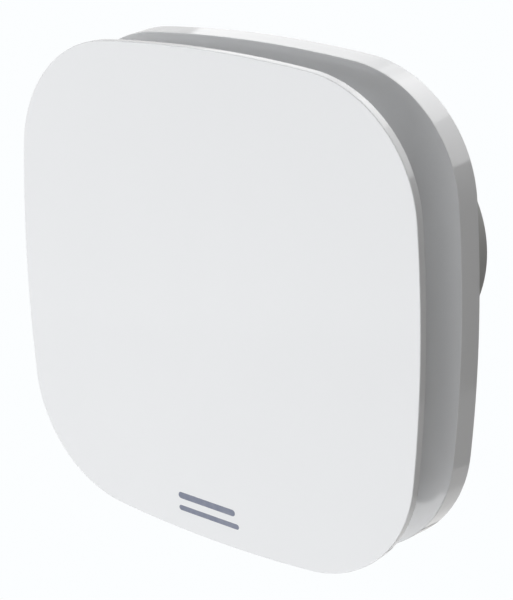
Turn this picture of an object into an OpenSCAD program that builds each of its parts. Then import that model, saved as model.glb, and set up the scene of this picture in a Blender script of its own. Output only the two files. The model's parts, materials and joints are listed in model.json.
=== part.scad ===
// Single-room heat recovery ventilator: a flat rounded-square front panel over a coved base,
// with a round drum behind that passes through a cored hole in the wall.
// Units are millimetres. Origin: centre of the wall face, on the drum axis.
// -Y points into the room, +Y into the wall, +Z up. "h" below is the distance from the wall
// towards the room, so a face at h lies at y = -h.

/* [Front panel] */
// Width and height of the front panel
panel_w = 236; // [228:1:244]
// Distance from the wall to the front of the panel
panel_out = 45; // [44.5:0.5:50]
// Thickness of the panel's plate
panel_t = 2.5; // [2:0.1:3]
// Depth of the panel's rim from its front face
panel_rim = 4.6; // [4:0.1:4.6]
// Wall thickness of the panel's rim
rim_wall = 2.2; // [1.8:0.1:3]

/* [Outline] */
// Radius of the bowed sides
side_r = 670; // [600:5:760]
// Radius of the corners
corner_r = 62; // [58:1:66]

/* [Base] */
// Distance from the wall to the base's front rim
base_side = 13; // [12.5:0.5:15]
// Draft of the base's side wall, from the wall to the front rim
base_draft = 0.8; // [0.4:0.1:1.2]
// Wall thickness of the base
base_wall = 2.4; // [2:0.1:2.8]
// Thickness of the base's back plate
back_t = 3; // [2.8:0.1:3]
// Distance from the wall to the crest of the cove
crest_out = 31; // [30:0.5:32]
// Slope of the cove where it leaves the front rim, in degrees
cove_start = 8; // [5:1:12]
// Width of the cove, from the outline inwards
cove_w = 24; // [22:0.5:26]

/* [Drum] */
// Outer radius of the drum
drum_r = 61.5; // [61:0.1:61.9]
// Wall thickness of the drum
drum_wall = 2.2; // [1.8:0.1:2.4]
// Length of the drum past the wall face
drum_len = 95; // [95:1:160]
// Radius of the drum's flange
flange_r = 69; // [68:0.5:69]

/* [Heat exchanger] */
// Number of plates in the stack
plate_count = 23; // [11:2:35]
// Thickness of one plate
plate_t = 0.9; // [0.6:0.1:1.2]
// Half width of the stack
core_half = 44; // [40:0.5:44]
// Half height of the stack
core_rise = 36; // [32:0.5:36]

/* [Fans] */
// Height of the fan centres above and below the drum axis
fan_z = 31.5; // [31.2:0.1:31.6]
// Bore radius of the fan frames
fan_bore = 27.5; // [27:0.1:27.7]
// Number of blades on each rotor
blade_count = 7; // [5:1:9]
// Pitch of the blades, in degrees
blade_pitch = 40; // [30:1:45]

/* [Filter] */
// Width of the filter frame
filter_w = 72; // [68:1:72]
// Height of the filter frame
filter_h = 60; // [58:1:60]
// Thickness of the filter frame
filter_t = 4; // [3:0.1:4]

/* [Fixings] */
// Spacing of the wall screw holes across
wall_hole_x = 156; // [154:1:160]
// Spacing of the wall screw holes up
wall_hole_z = 116; // [114:1:120]
// Radius of the wall screw holes
wall_hole_r = 2.5; // [2:0.1:3]
// Radius of the cable entry's bore
cable_r = 4.5; // [3:0.1:5]
// Distance of the panel pegs from the centre, across and up
peg_at = 64; // [60:1:66]

/* [Hidden] */
$fn = 64;

half = panel_w / 2;
// centre of a bowed side's arc, and of a corner's arc
side_c = half - side_r;
corner_c = (side_c + sqrt(2 * pow(side_r - corner_r, 2) - side_c * side_c)) / 2;
side_a = atan2(corner_c, corner_c - side_c);

// cove: an arc from the front rim (inset base_draft, h base_side) to the crest (inset cove_w, h crest_out)
cove_dx = cove_w - base_draft;
cove_dh = crest_out - base_side;
cove_chord = sqrt(cove_dx * cove_dx + cove_dh * cove_dh);
cove_turn = 2 * (atan2(cove_dh, cove_dx) - cove_start);
cove_r = cove_chord / (2 * sin(cove_turn / 2));
cove_ci = base_draft - cove_r * sin(cove_start);
cove_ch = base_side + cove_r * cos(cove_start);
shell_t = 2.2;
cove_steps = 7;
inner_steps = 5;
inner_a0 = asin((base_wall + base_draft - cove_ci) / (cove_r + shell_t));
inner_a1 = asin((cove_w + 2 - cove_ci) / (cove_r + shell_t));
corner_steps = 12;
side_steps = 6;
ring_n = corner_steps + side_steps;

cover_inset = cove_w + 2.4;
cover_h = crest_out - 2;
flange_h = back_t + 2;
gasket_h = flange_h + 2;
fan_h = gasket_h;
fan_depth = 20;
board_h = 9;
board_t = 1.6;
board_top = board_h + board_t;
drum_in = drum_r - drum_wall;
core_y0 = 10;
core_y1 = 32;
core_y2 = 66;
core_y3 = 88;
cap_t = 3;
cable_at = [-66.5, -46.5];
cover_screw_at = [[34, 80], [-34, 80], [34, -80], [-34, -80]];
board_post_at = [[62, 41], [62, -41], [82, 39], [82, -39]];
clamp_post_at = [[-88, -35], [-70, -35]];
speed_at = [76, 30];
timer_at = [76, 14];
pipe_at = [60, 30];
terminal_z = [-18, -7, 4];

// ---- helpers ----

// extrudes an (x, z) outline between two distances from the wall
module slab(h0, h1) {
    translate([0, -h0, 0]) rotate([90, 0, 0]) linear_extrude(h1 - h0) children();
}

// a round bar along Y between two distances from the wall
module bar(p, r, h0, h1) {
    translate([p[0], -h0, p[1]]) rotate([90, 0, 0]) cylinder(r = r, h = h1 - h0);
}

module block(x0, x1, h0, h1, z0, z1) {
    translate([x0, -h1, z0]) cube([x1 - x0, h1 - h0, z1 - z0]);
}

// rounded square with bowed sides, inset by i
module outline(i) {
    for (k = [0:3]) rotate(90 * k) {
        intersection() {
            translate([side_c, 0]) circle(r = side_r - i, $fn = 720);
            polygon([[0, 0], [corner_c, -corner_c],
                [side_c + (side_r + 5) * cos(side_a), -(side_r + 5) * sin(side_a)],
                [side_c + (side_r + 5) * cos(side_a), (side_r + 5) * sin(side_a)],
                [corner_c, corner_c]]);
        }
        translate([corner_c, corner_c]) circle(r = corner_r - i, $fn = 128);
    }
}

module ring2d(r0, r1) {
    difference() { circle(r = r1); circle(r = r0); }
}

// pan-head screw with a cross recess; the head's underside is at h, the shank points to the wall
module screw(p, h, len, r = 1.5, head_r = 2.8, head_t = 1.6) {
    difference() {
        union() {
            bar(p, head_r, h, h + head_t);
            bar(p, r, h - len, h + 0.01);
        }
        block(p[0] - head_r * 0.6, p[0] + head_r * 0.6, h + head_t - 0.8, h + head_t + 1, p[1] - 0.3, p[1] + 0.3);
        block(p[0] - 0.3, p[0] + 0.3, h + head_t - 0.8, h + head_t + 1, p[1] - head_r * 0.6, p[1] + head_r * 0.6);
    }
}

// places a fan drawn with its strut side at z = 0: the extract fan blows to the wall side
module place_extract() {
    translate([0, -fan_h, fan_z]) rotate([90, 0, 0]) children();
}
// the supply fan blows to the room
module place_supply() {
    translate([0, -(fan_h + fan_depth), -fan_z]) rotate([-90, 0, 0]) children();
}

// ---- base ----

// points round the outline at inset i, in order
function ring_pt(s, i) = let (
        k = floor(s / ring_n), j = s % ring_n,
        on_corner = j <= corner_steps,
        a = on_corner ? side_a + (90 - 2 * side_a) * j / corner_steps
            : -side_a + 2 * side_a * (j - corner_steps) / side_steps,
        p = on_corner ? [corner_c + (corner_r - i) * cos(a), corner_c + (corner_r - i) * sin(a)]
            : [-(side_r - i) * sin(a), side_c + (side_r - i) * cos(a)])
    [p[0] * cos(90 * k) - p[1] * sin(90 * k), p[0] * sin(90 * k) + p[1] * cos(90 * k)];

// the shell's section as [inset, h]: side wall, cove, crest, then back along the inside
base_section = concat(
    [[0, 0], [base_draft, base_side]],
    [for (k = [1:cove_steps]) let (a = cove_start + cove_turn * k / cove_steps)
        [cove_ci + cove_r * sin(a), cove_ch - cove_r * cos(a)]],
    [[cove_w + 2, crest_out]],
    [for (k = [inner_steps:-1:1]) let (a = inner_a0 + (inner_a1 - inner_a0) * k / inner_steps)
        [cove_ci + (cove_r + shell_t) * sin(a), cove_ch - (cove_r + shell_t) * cos(a)]],
    [[base_wall + base_draft, cove_ch - sqrt(pow(cove_r + shell_t, 2) - pow(base_wall + base_draft - cove_ci, 2))],
     [base_wall, 0]]);

module base_housing() {
    m = len(base_section);
    n = 4 * ring_n;
    color("white") rotate([90, 0, 0]) polyhedron(
        points = [for (s = [0:n - 1], q = base_section) let (p = ring_pt(s, q[0])) [p[0], p[1], q[1]]],
        faces = [for (s = [0:n - 1], q = [0:m - 1]) let (s1 = (s + 1) % n, q1 = (q + 1) % m)
            each [[s * m + q, s * m + q1, s1 * m + q1], [s * m + q, s1 * m + q1, s1 * m + q]]]);
}

module back_plate() {
    color("white") difference() {
        union() {
            slab(0, back_t) outline(base_wall + base_draft * 0.35 + 0.15);
            for (sx = [-1, 1], sz = [-1, 1])
                bar([sx * wall_hole_x / 2, sz * wall_hole_z / 2], 5, back_t - 0.5, back_t + 2);
        }
        bar([0, 0], drum_r + 0.2, -1, back_t + 1);
        // groove for the duct seal
        slab(-1, 1.4) ring2d(drum_r, 68.2);
        for (sx = [-1, 1], sz = [-1, 1])
            bar([sx * wall_hole_x / 2, sz * wall_hole_z / 2], wall_hole_r, -1, back_t + 3);
        for (k = [0:3]) bar([65.5 * cos(45 + 90 * k), 65.5 * sin(45 + 90 * k)], 1.1, 1.4 - 1, back_t + 1);
        bar(cable_at, 7, -1, back_t + 1);
    }
}

// posts welded to the back plate: for the inner cover, the board and the cable clamp
module mounting_posts() {
    color("white") difference() {
        union() {
            for (p = cover_screw_at) bar(p, 4, back_t, cover_h);
            for (p = board_post_at) bar(p, 3, back_t, board_h);
            for (p = clamp_post_at) bar(p, 3, back_t, 9);
        }
        for (p = cover_screw_at) bar(p, 1.3, 10, cover_h + 1);
        for (p = board_post_at) bar(p, 1.1, back_t + 0.5, board_h + 1);
        for (p = clamp_post_at) bar(p, 1.1, back_t + 0.5, 10);
    }
}

module duct_drum() {
    color("gainsboro") difference() {
        union() {
            bar([0, 0], drum_r, -drum_len, 0);
            bar([0, 0], drum_r - 0.9, -1, back_t + 0.5);
            bar([0, 0], flange_r, back_t, flange_h);
        }
        bar([0, 0], drum_in, -drum_len - 1, flange_h + 1);
        for (k = [0:3]) bar([65.5 * cos(45 + 90 * k), 65.5 * sin(45 + 90 * k)], 1.3, back_t - 1, flange_h + 1);
    }
}

module duct_seal() {
    color("dimgray") slab(0, 1.4) ring2d(drum_r + 0.7, 68);
}

module cable_grommet() {
    color("#222222") difference() {
        union() {
            bar(cable_at, 7, 0, back_t);
            bar(cable_at, 8.6, back_t, back_t + 1.2);
        }
        bar(cable_at, cable_r, -1, back_t + 2);
    }
}

// ---- inner cover, grilles, baffle ----

module rail(side) {
    x0 = side * (filter_w / 2 + 0.4);
    x1 = side * (filter_w / 2 + 2.4);
    xl = side * (filter_w / 2 - 1.4);
    z1 = fan_z + filter_h / 2;
    block(min(x0, x1), max(x0, x1), cover_h + 1, crest_out + filter_t + 1.9, 1, z1);
    block(min(xl, x1), max(xl, x1), crest_out + filter_t + 0.7, crest_out + filter_t + 1.9, 1, z1);
}

module inner_cover() {
    color("whitesmoke") difference() {
        union() {
            slab(cover_h, crest_out) outline(cover_inset);
            rail(1);
            rail(-1);
            // scale ticks round the two dials
            for (d = [speed_at, timer_at], a = [-45:45:225])
                translate([d[0], -crest_out, d[1]]) rotate([0, -a, 0])
                    translate([6.6, -0.3, -0.25]) cube([1.4, 0.6, 0.5]);
        }
        for (s = [-1, 1]) bar([0, s * fan_z], 27, cover_h - 1, crest_out + 1);
        for (s = [-1, 1], sx = [-25, 25], sz = [-25, 25]) {
            bar([sx, s * fan_z + sz], 1.6, cover_h - 1, crest_out + 1);
            bar([sx, s * fan_z + sz], 3, crest_out - 1.2, crest_out + 1);
        }
        for (p = cover_screw_at) {
            bar(p, 1.6, cover_h - 1, crest_out + 1);
            bar(p, 3, crest_out - 1.2, crest_out + 1);
        }
        for (sx = [-1, 1], sz = [-1, 1]) bar([sx * peg_at, sz * peg_at], 5, cover_h - 1, crest_out + 1);
        bar(speed_at, 5.8, cover_h - 1, crest_out + 1);
        bar(timer_at, 5.8, cover_h - 1, crest_out + 1);
        bar(pipe_at, 1.6, cover_h - 1, crest_out + 1);
    }
}

module grille(zc) {
    difference() {
        union() {
            translate([0, 0, zc]) slab(cover_h, crest_out - 0.3) ring2d(24.6, 26.95);
            translate([0, 0, zc]) slab(cover_h + 0.3, crest_out - 0.5) {
                ring2d(17, 18.4);
                ring2d(9.5, 10.9);
                circle(r = 4);
                for (a = [0:30:150]) rotate(a + 15) square([50, 1.3], center = true);
            }
        }
    }
}
module intake_grille() { color("white") grille(fan_z); }
module outlet_grille() { color("white") grille(-fan_z); }

module gap_baffle() {
    // wall across the gap that keeps supply air from turning back into the intake
    color("gray") block(-88, 88, crest_out, panel_out - panel_rim - 0.2, -1.1, 0.9);
}

module peg_grommets() {
    color("#2a2a2a") for (sx = [-1, 1], sz = [-1, 1]) {
        p = [sx * peg_at, sz * peg_at];
        difference() {
            union() {
                bar(p, 4.95, cover_h - 1.2, crest_out + 1.2);
                bar(p, 6.6, crest_out, crest_out + 1.2);
                bar(p, 6.6, cover_h - 1.2, cover_h);
            }
            bar(p, 3.06, cover_h - 2, crest_out + 2);
        }
    }
}

// ---- drum contents ----

module divider_front() {
    color("white") difference() {
        block(-drum_in + 0.1, drum_in - 0.1, -41, flange_h, -1, 1);
        block(-core_half - 2.05, core_half + 2.05, -60, -core_y0, -3, 3);
    }
}

module divider_rear() {
    color("white") difference() {
        block(-drum_in + 0.1, drum_in - 0.1, -(drum_len - cap_t), -57, -1, 1);
        block(-core_half - 2.05, core_half + 2.05, -core_y3, -50, -3, 3);
    }
}

// side view of the counterflow stack, drawn in (y, z)
module hexagon(g = 0) {
    polygon([[core_y0 + g, 0], [core_y1, core_rise - g], [core_y2, core_rise - g],
        [core_y3 - g, 0], [core_y2, -core_rise + g], [core_y1, -core_rise + g]]);
}

module across(x0, x1) {
    translate([x0, 0, 0]) rotate([90, 0, 90]) linear_extrude(x1 - x0) children();
}

module exchanger_plates() {
    pitch = (2 * core_half - 2) / (plate_count - 1);
    color("lightsteelblue") union() {
        for (k = [0:plate_count - 1]) {
            x = -core_half + 1 + k * pitch;
            across(x - plate_t / 2, x + plate_t / 2) hexagon();
        }
        // closing strips where the streams run parallel
        for (s = [-1, 1]) across(-core_half, core_half)
            translate([core_y1 + 1, s > 0 ? core_rise - 1 : -core_rise]) square([core_y2 - core_y1 - 2, 1]);
    }
}

module exchanger_ends() {
    color("steelblue") for (s = [-1, 1])
        across(s > 0 ? core_half : -core_half - 2, s > 0 ? core_half + 2 : -core_half) hexagon(0.02);
}

module core_seal() {
    color("#333333") difference() {
        bar([0, 0], drum_in - 0.05, -57, -41);
        block(-core_half - 2.05, core_half + 2.05, -60, -40, -core_rise - 0.05, core_rise + 0.05);
    }
}

module outdoor_cap() {
    color("gainsboro") difference() {
        bar([0, 0], drum_in - 0.05, -drum_len, -(drum_len - cap_t));
        difference() {
            bar([0, 0], 54, -drum_len - 1, -(drum_len - cap_t) + 1);
            block(-60, 60, -drum_len - 2, -80, -4, 4);
            for (s = [-1, 1], k = [1:4]) block(-60, 60, -drum_len - 2, -80, s * (4 + k * 9.6) - 1.2, s * (4 + k * 9.6) + 1.2);
        }
        // drain notch
        block(-4, 4, -drum_len - 1, -80, -70, -57);
    }
}

module drum_gasket() {
    color("#333333") difference() {
        bar([0, 0], 62.8, flange_h, gasket_h);
        for (s = [-1, 1]) bar([0, s * fan_z], fan_bore, flange_h - 1, gasket_h + 1);
    }
}

module fan_gaskets() {
    color("#333333") for (s = [-1, 1]) translate([0, 0, s * fan_z]) difference() {
        block(-30, 30, fan_h + fan_depth, cover_h, -30, 30);
        bar([0, 0], fan_bore, fan_h, cover_h + 1);
        for (sx = [-25, 25], sz = [-25, 25]) bar([sx, sz], 1.8, fan_h, cover_h + 1);
    }
}

// ---- fans (drawn with the strut side at z = 0) ----

module fan_frame() {
    difference() {
        union() {
            cylinder(r = fan_bore + 1.6, h = fan_depth, $fn = 96);
            for (z = [0, fan_depth - 3]) translate([0, 0, z]) linear_extrude(3) intersection() {
                square(60, center = true);
                circle(r = 38.5);
            }
        }
        translate([0, 0, -1]) cylinder(r = fan_bore, h = fan_depth + 2, $fn = 96);
        for (sx = [-25, 25], sy = [-25, 25]) translate([sx, sy, -1]) cylinder(r = 1.55, h = fan_depth + 2, $fn = 24);
    }
    difference() {
        union() {
            cylinder(r = 12.5, h = 2);
            cylinder(r = 4.6, h = 14.5);
            intersection() {
                for (a = [45:90:315]) rotate([0, 0, a]) translate([8, -1.2, 0]) cube([21, 2.4, 2.5]);
                cylinder(r = fan_bore + 0.5, h = 2.5, $fn = 96);
            }
        }
        translate([0, 0, 2]) cylinder(r = 3.2, h = 20, $fn = 32);
    }
}

module fan_stator() {
    linear_extrude(9) {
        ring2d(4.65, 6.3);
        for (a = [0:60:300]) rotate(a) {
            translate([6, -0.9]) square([3.6, 1.8]);
            intersection() {
                ring2d(9.3, 10.3);
                polygon([[0, 0], [12, -5.2], [12, 5.2]]);
            }
        }
    }
}

module fan_coils() {
    for (a = [0:60:300]) rotate([0, 0, a]) difference() {
        translate([6.7, -1.9, -0.8]) cube([2.2, 3.8, 10.6]);
        translate([6, -0.95, -0.05]) cube([3.6, 1.9, 9.1]);
    }
}

module fan_bearings() {
    for (z = [2.6, 11.2]) translate([0, 0, z]) difference() {
        cylinder(r = 3.18, h = 3, $fn = 32);
        translate([0, 0, -1]) cylinder(r = 1.54, h = 5, $fn = 32);
    }
}

module fan_rotor() {
    difference() {
        union() {
            translate([0, 0, 3.8]) cylinder(r = 13, h = 14.2);
            intersection() {
                for (k = [0:blade_count - 1]) rotate([0, 0, 360 / blade_count * k])
                    translate([12, 0, 10.6]) rotate([blade_pitch, 0, 0])
                        translate([0, -8, -0.7]) cube([17, 16, 1.4]);
                translate([0, 0, 4.2]) cylinder(r = 26.8, h = 12.8, $fn = 96);
            }
        }
        difference() {
            translate([0, 0, 3]) cylinder(r = 11.65, h = 13.2);
            translate([0, 0, 14.8]) cylinder(r = 3.4, h = 3);
        }
        translate([0, 0, 3]) cylinder(r = 1.5, h = 13.8, $fn = 32);
    }
}

module fan_magnet() {
    translate([0, 0, 4.2]) difference() {
        cylinder(r = 11.6, h = 11.6);
        translate([0, 0, -1]) cylinder(r = 10.8, h = 14);
    }
}

module fan_shaft() {
    translate([0, 0, 2.3]) cylinder(r = 1.5, h = 14.4, $fn = 32);
}

module extract_fan_frame() { color("#26282b") place_extract() fan_frame(); }
module extract_stator() { color("silver") place_extract() translate([0, 0, 3.5]) fan_stator(); }
module extract_coils() { color("#b5651d") place_extract() translate([0, 0, 3.5]) fan_coils(); }
module extract_bearings() { color("silver") place_extract() fan_bearings(); }
module extract_rotor() { color("#2c2e31") place_extract() fan_rotor(); }
module extract_magnet() { color("#4a4a4a") place_extract() fan_magnet(); }
module extract_shaft() { color("silver") place_extract() fan_shaft(); }
module supply_fan_frame() { color("#26282b") place_supply() fan_frame(); }
module supply_stator() { color("silver") place_supply() translate([0, 0, 3.5]) fan_stator(); }
module supply_coils() { color("#b5651d") place_supply() translate([0, 0, 3.5]) fan_coils(); }
module supply_bearings() { color("silver") place_supply() fan_bearings(); }
module supply_rotor() { color("#2c2e31") place_supply() fan_rotor(); }
module supply_magnet() { color("#4a4a4a") place_supply() fan_magnet(); }
module supply_shaft() { color("silver") place_supply() fan_shaft(); }

// ---- control board ----

module circuit_board() {
    color("seagreen") difference() {
        block(52, 90, board_h, board_top, -45, 45);
        for (p = board_post_at) bar(p, 1.6, board_h - 1, board_top + 1);
    }
}

module transformer() {
    color("goldenrod") union() {
        block(59, 79, board_top, board_top + 4, -37, -13);
        block(61, 77, board_top + 4, board_top + 13, -35, -15);
        block(60, 78, board_top + 11, board_top + 13.5, -34, -16);
    }
}

module capacitors() {
    color("#20304a") for (p = [[60, -5], [60, 5]]) bar(p, 4, board_top, board_top + 12);
}

module relay() {
    color("black") block(69, 87, board_top, board_top + 9, -9, 5);
}

module board_chips() {
    color("#151515") {
        block(64, 70, board_top, board_top + 1.4, 17, 27);
        block(55, 59, board_top, board_top + 1.2, 12, 17);
        block(84, 88, board_top, board_top + 1.2, -30, -24);
        block(84, 88, board_top, board_top + 1.2, -20, -16);
    }
}

module lead_plugs() {
    color("ivory") for (s = [-1, 1]) block(53, 58, board_top, board_top + 5, s * 22 - 3.2, s * 22 + 3.2);
}

module fan_leads() {
    color("crimson") for (s = [-1, 1], q = [-1.6, 1.6])
        translate([28.2, -12.8, s * 22 + q]) rotate([0, 90, 0]) cylinder(r = 0.7, h = 24.8, $fn = 24);
}

module dial_bodies() {
    color("dimgray") for (p = [speed_at, timer_at]) {
        block(p[0] - 5, p[0] + 5, board_top, board_top + 8, p[1] - 5, p[1] + 5);
        bar(p, 2, board_top + 7.5, 27);
    }
}

module dial(p) {
    difference() {
        bar(p, 5.2, 21, crest_out + 0.6);
        bar(p, 2.05, 20, 27.3);
        // screwdriver slot with a pointer end
        block(p[0] - 0.7, p[0] + 0.7, crest_out - 1, crest_out + 2, p[1] - 3, p[1] + 6);
    }
}
module speed_dial() { color("orange") dial(speed_at); }
module timer_dial() { color("orange") dial(timer_at); }

module light_pipe() {
    color("palegreen") bar(pipe_at, 1.5, board_top, crest_out + 0.4);
}

module humidity_sensor() {
    color("white") difference() {
        block(-58, -44, crest_out, crest_out + 4, 20, 30);
        for (z = [22, 24.4, 26.8]) block(-56, -46, crest_out + 2.6, crest_out + 5, z, z + 1.2);
    }
}

// ---- mains connection ----

module terminal_block() {
    color("lightgoldenrodyellow") difference() {
        block(-87, -73, back_t, back_t + 12, -24, 10);
        for (z = terminal_z) {
            bar([-80, z], 3, back_t + 7, back_t + 13);
            block(-88, -72, back_t + 2.5, back_t + 6, z - 2, z + 2);
        }
    }
}

module terminal_screws() {
    color("silver") for (z = terminal_z) difference() {
        bar([-80, z], 2.8, back_t + 7, back_t + 9.5);
        block(-82.2, -77.8, back_t + 8.6, back_t + 12, z - 0.4, z + 0.4);
    }
}

module cable_clamp() {
    color("white") difference() {
        union() {
            block(-91.5, -66.5, 9, 11.4, -38, -32);
            block(-84, -74, 6.6, 9.2, -38, -32);
        }
        for (p = clamp_post_at) bar(p, 1.6, 8, 13);
    }
}

module clamp_screws() {
    color("silver") for (p = clamp_post_at) screw(p, 11.4, 6.5, 1.05, 2.4, 1.4);
}

// ---- fasteners ----

module fan_screws() {
    color("silver") for (s = [-1, 1], sx = [-25, 25], sz = [-25, 25])
        screw([sx, s * fan_z + sz], crest_out - 1.2, 7.5, 1.5, 2.9, 1.2);
}

module cover_screws() {
    color("silver") for (p = cover_screw_at) screw(p, crest_out - 1.2, 10, 1.25, 2.9, 1.2);
}

module board_screws() {
    color("silver") for (p = board_post_at) screw(p, board_top, 5, 1.05, 2.4, 1.4);
}

module flange_screws() {
    color("silver") for (k = [0:3])
        screw([65.5 * cos(45 + 90 * k), 65.5 * sin(45 + 90 * k)], flange_h, 3.6, 1.05, 2.4, 1.4);
}

// ---- front panel ----

module front_panel() {
    color("white") union() {
        slab(panel_out - panel_t, panel_out) outline(0);
        slab(panel_out - panel_rim, panel_out - panel_t + 0.5) difference() {
            outline(0);
            outline(rim_wall);
        }
        // stiffening ribs
        slab(panel_out - panel_t - 1.5, panel_out - panel_t + 0.5) difference() {
            square(164, center = true);
            square(161.6, center = true);
        }
    }
}

module panel_pegs() {
    color("white") for (sx = [-1, 1], sz = [-1, 1]) {
        p = [sx * peg_at, sz * peg_at];
        bar(p, 6, panel_out - panel_t - 2.4, panel_out - panel_t);
        bar(p, 3, 25, panel_out - panel_t - 1);
    }
}

// ---- filter ----

module filter_frame() {
    h0 = crest_out + 0.3;
    z0 = fan_z - filter_h / 2;
    color("#9aa3a8") difference() {
        union() {
            block(-filter_w / 2, filter_w / 2, h0, h0 + filter_t, z0 + 1, z0 + filter_h);
            block(-12, 12, h0, h0 + filter_t, z0 + filter_h - 1, z0 + filter_h + 8);
        }
        difference() {
            block(-filter_w / 2 + 4, filter_w / 2 - 4, h0 - 1, h0 + filter_t + 1, z0 + 5, z0 + filter_h - 4);
            // support bars behind the pad
            for (x = [-16, 0, 16]) block(x - 0.8, x + 0.8, h0, h0 + 1, z0, z0 + filter_h);
            for (z = [-12, 0, 12]) block(-filter_w / 2, filter_w / 2, h0, h0 + 1, fan_z + z - 0.8, fan_z + z + 0.8);
        }
        // finger hollow in the tab
        block(-9, 9, h0 + 2, h0 + filter_t + 1, z0 + filter_h + 2, z0 + filter_h + 6);
    }
}

module filter_pad() {
    h0 = crest_out + 0.3;
    z0 = fan_z - filter_h / 2;
    color("lightgray") block(-filter_w / 2 + 4, filter_w / 2 - 4, h0 + 1, h0 + filter_t - 0.4, z0 + 5, z0 + filter_h - 4);
}

base_housing();
back_plate();
mounting_posts();
duct_drum();
duct_seal();
inner_cover();
intake_grille();
outlet_grille();
gap_baffle();
divider_front();
divider_rear();
exchanger_plates();
exchanger_ends();
core_seal();
outdoor_cap();
extract_fan_frame();
extract_stator();
extract_coils();
extract_bearings();
supply_fan_frame();
supply_stator();
supply_coils();
supply_bearings();
fan_gaskets();
drum_gasket();
circuit_board();
transformer();
capacitors();
relay();
board_chips();
lead_plugs();
fan_leads();
dial_bodies();
humidity_sensor();
terminal_block();
terminal_screws();
cable_clamp();
clamp_screws();
cable_grommet();
fan_screws();
cover_screws();
board_screws();
flange_screws();
peg_grommets();
light_pipe();
front_panel();
panel_pegs();
filter_frame();
filter_pad();
extract_rotor();
extract_magnet();
extract_shaft();
supply_rotor();
supply_magnet();
supply_shaft();
speed_dial();
timer_dial();
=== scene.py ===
import json
import math

import bpy
import bmesh
from mathutils import Matrix, Vector, noise


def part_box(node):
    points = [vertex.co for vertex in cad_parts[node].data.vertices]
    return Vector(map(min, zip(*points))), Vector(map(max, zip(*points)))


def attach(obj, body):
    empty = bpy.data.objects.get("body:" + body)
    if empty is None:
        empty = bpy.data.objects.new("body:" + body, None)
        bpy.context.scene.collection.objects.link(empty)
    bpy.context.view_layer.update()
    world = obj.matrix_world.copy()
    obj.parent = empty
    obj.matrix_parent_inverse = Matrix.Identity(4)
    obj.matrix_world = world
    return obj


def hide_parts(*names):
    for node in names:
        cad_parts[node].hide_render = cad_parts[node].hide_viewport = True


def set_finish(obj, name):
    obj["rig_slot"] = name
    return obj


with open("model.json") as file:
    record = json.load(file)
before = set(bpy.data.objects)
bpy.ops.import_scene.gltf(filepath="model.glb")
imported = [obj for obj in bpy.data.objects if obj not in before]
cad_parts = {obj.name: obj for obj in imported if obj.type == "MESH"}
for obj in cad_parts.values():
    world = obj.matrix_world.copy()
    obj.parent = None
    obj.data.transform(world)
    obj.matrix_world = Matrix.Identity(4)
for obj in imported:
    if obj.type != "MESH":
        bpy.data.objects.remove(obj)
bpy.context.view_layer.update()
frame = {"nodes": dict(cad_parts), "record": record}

SCENE = bpy.context.scene
NODES = frame["nodes"]
MM = 0.001

# ------------------------------------------------------------------ camera
AZ, EL, ROLL = math.radians(39.833), math.radians(18.829), math.radians(-0.843)
back = Vector((math.sin(AZ) * math.cos(EL), -math.cos(AZ) * math.cos(EL), math.sin(EL)))
look = -back
right = look.cross(Vector((0, 0, 1))).normalized()
up = right.cross(look)
r2 = right * math.cos(ROLL) + up * math.sin(ROLL)
u2 = -right * math.sin(ROLL) + up * math.cos(ROLL)
cam_data = bpy.data.cameras.new("camera")
cam_data.lens = 107.382
cam_data.sensor_width = 36
cam_data.clip_start, cam_data.clip_end = 0.01, 60
camera = bpy.data.objects.new("camera", cam_data)
SCENE.collection.objects.link(camera)
camera.matrix_world = Matrix.Translation(Vector((0.02993, -0.045, 0.00911)) + back * 0.7939) @ Matrix(
    (r2, u2, back)).transposed().to_4x4()
SCENE.camera = camera

SCENE.view_settings.view_transform = "Standard"
SCENE.view_settings.look = "None"
SCENE.view_settings.exposure = 0
SCENE.view_settings.gamma = 1


# ------------------------------------------------------------------ materials
def srgb(r, g, b):
    def f(c):
        c /= 255
        return c / 12.92 if c <= 0.04045 else ((c + 0.055) / 1.055) ** 2.4
    return (f(r), f(g), f(b), 1)


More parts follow.
